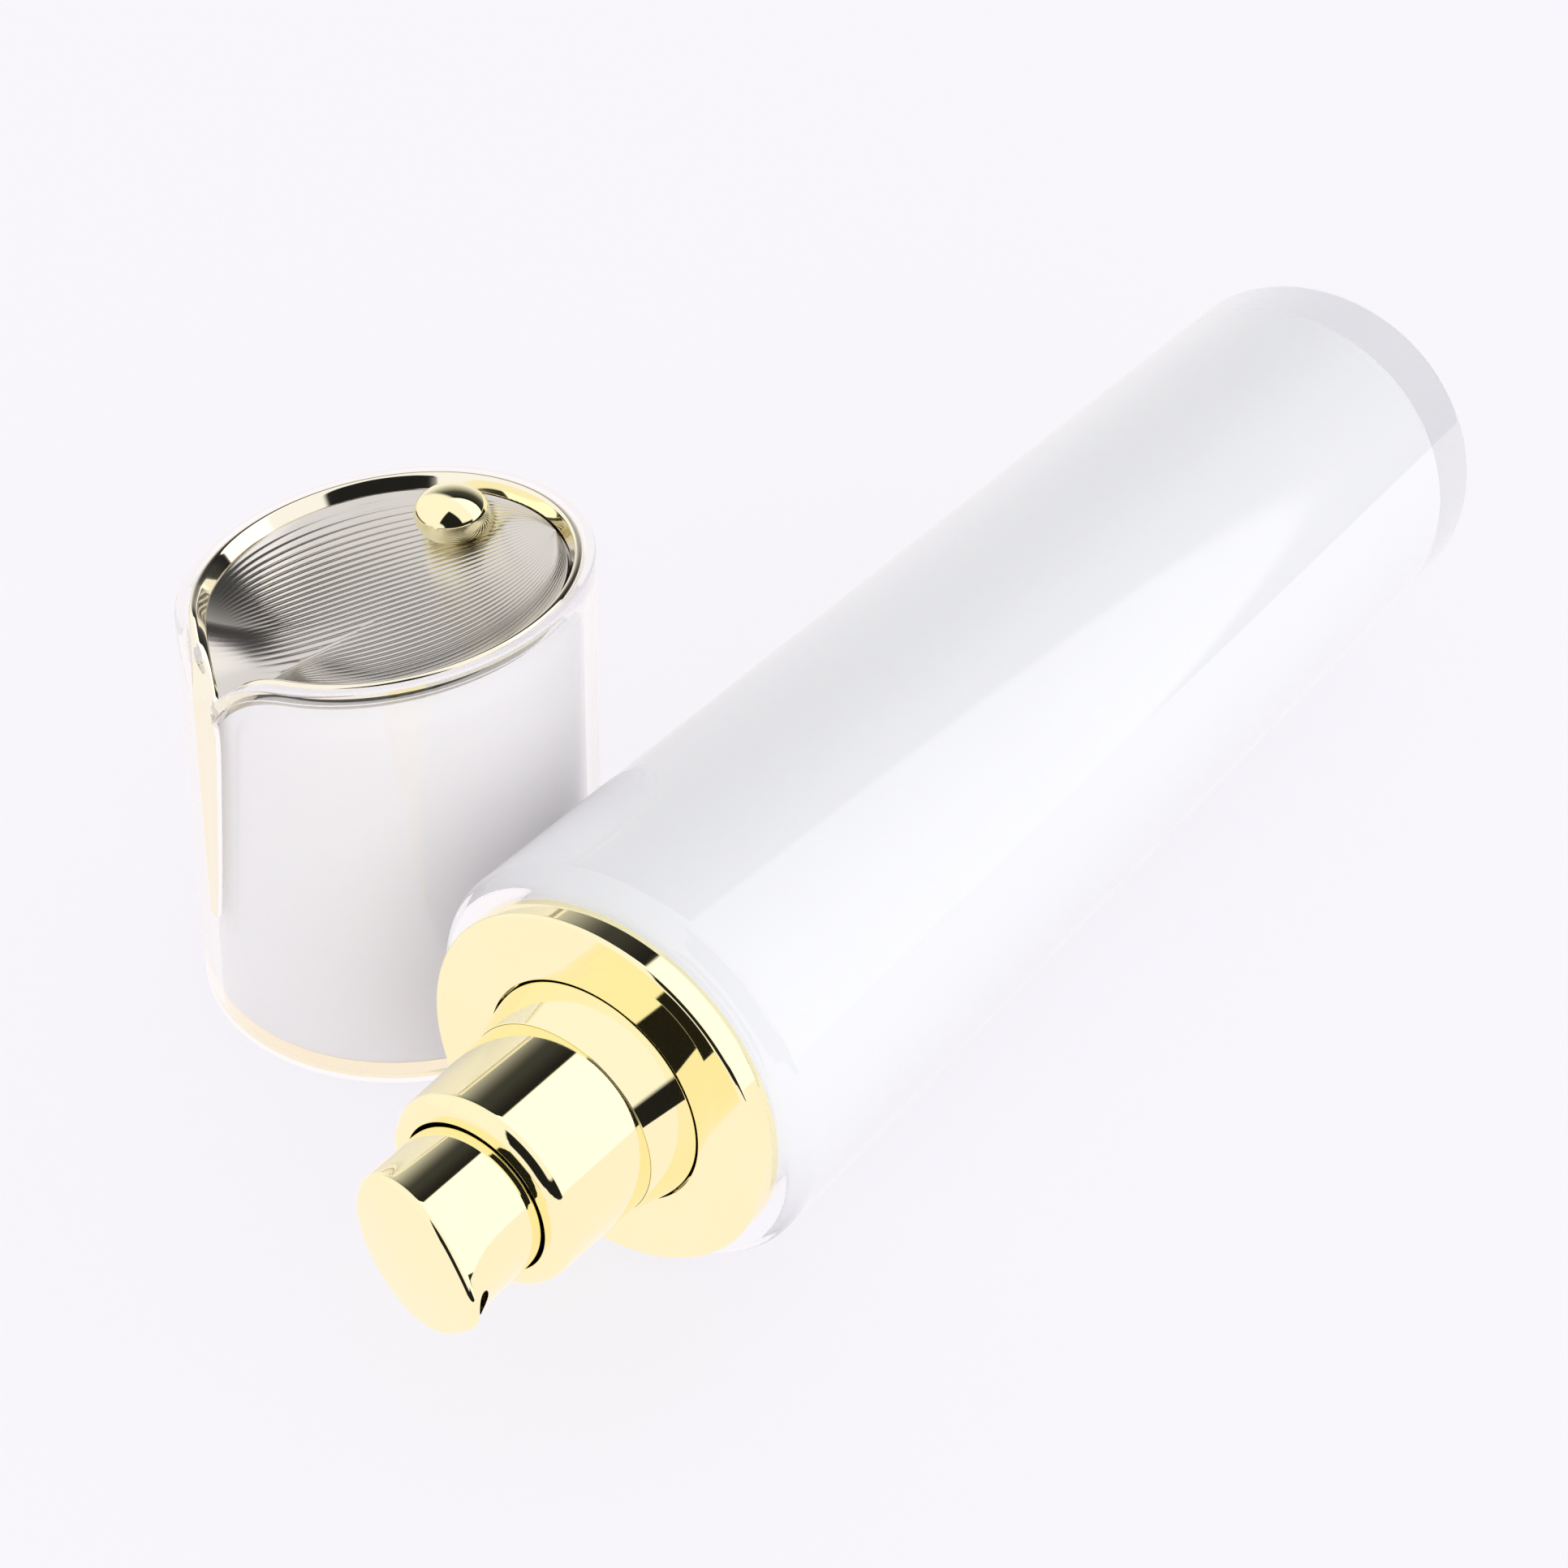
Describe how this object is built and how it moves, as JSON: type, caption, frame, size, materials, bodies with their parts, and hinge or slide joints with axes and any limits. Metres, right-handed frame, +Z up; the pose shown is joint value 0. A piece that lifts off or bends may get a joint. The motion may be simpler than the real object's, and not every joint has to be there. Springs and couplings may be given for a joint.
{
  "type": "airless pump bottle with overcap",
  "caption": "Clear double-wall airless pump bottle lying down, with a gold pump head, and its overcap with a slanted grooved dish standing beside it.",
  "frame": {"origin": "on the ground, under the middle of the bounding box of the lying bottle and the standing cap", "axes": "+X along the bottle's axis from the pump end to the base, +Y from the bottle to the cap, +Z up"},
  "size_m": [0.1388, 0.0684, 0.0407],
  "materials": {
    "clear_acrylic": "clear glossy acrylic",
    "white_plastic": "smooth white polypropylene",
    "natural_plastic": "natural moulded plastic",
    "soft_seal": "soft polyethylene or elastomer",
    "spring_steel": "bright stainless steel",
    "gold_plating": "mirror gold plating on moulded plastic",
    "champagne_metal": "pale champagne plating on moulded plastic, finely grooved"
  },
  "bodies": {
    "bottle": {"outer_shell": "clear_acrylic", "inner_bottle": "white_plastic", "base_plug": "white_plastic", "collar_plate": "gold_plating", "hub_ring": "gold_plating", "pump_sleeve": "gold_plating", "screw_closure": "white_plastic", "neck_gasket": "soft_seal", "pump_housing": "natural_plastic", "ball_cage": "natural_plastic", "stem_guide": "natural_plastic"},
    "press": {"press_head": "gold_plating", "head_core": "white_plastic", "pump_stem": "natural_plastic", "stem_piston": "soft_seal", "return_spring": "spring_steel"},
    "ball": {"inlet_ball": "spring_steel"},
    "follower": {"follower_piston": "natural_plastic"},
    "cap": {"cap_shell": "clear_acrylic", "cap_liner": "white_plastic", "cap_mouth_ring": "gold_plating", "leaf_dish": "champagne_metal", "leaf_rim": "gold_plating", "dish_bead": "gold_plating"}
  },
  "joints": [
    {"name": "press_slide", "type": "slide", "parent": "bottle", "child": "press", "axis": [1, 0, 0], "range_m": [0, 0.005], "stiffness_N_per_m": 900, "springref_m": -0.002, "deforming": ["return_spring"]},
    {"name": "ball_lift", "type": "slide", "parent": "bottle", "child": "ball", "axis": [-1, 0, 0], "range_m": [0, 0.0008]},
    {"name": "follower_slide", "type": "slide", "parent": "bottle", "child": "follower", "axis": [-1, 0, 0], "range_m": [0, 0.06]},
    {"name": "cap_lift", "type": "slide", "parent": "bottle", "child": "cap", "axis": [0, 0, 1], "range_m": [0, 0.06]}
  ]
}
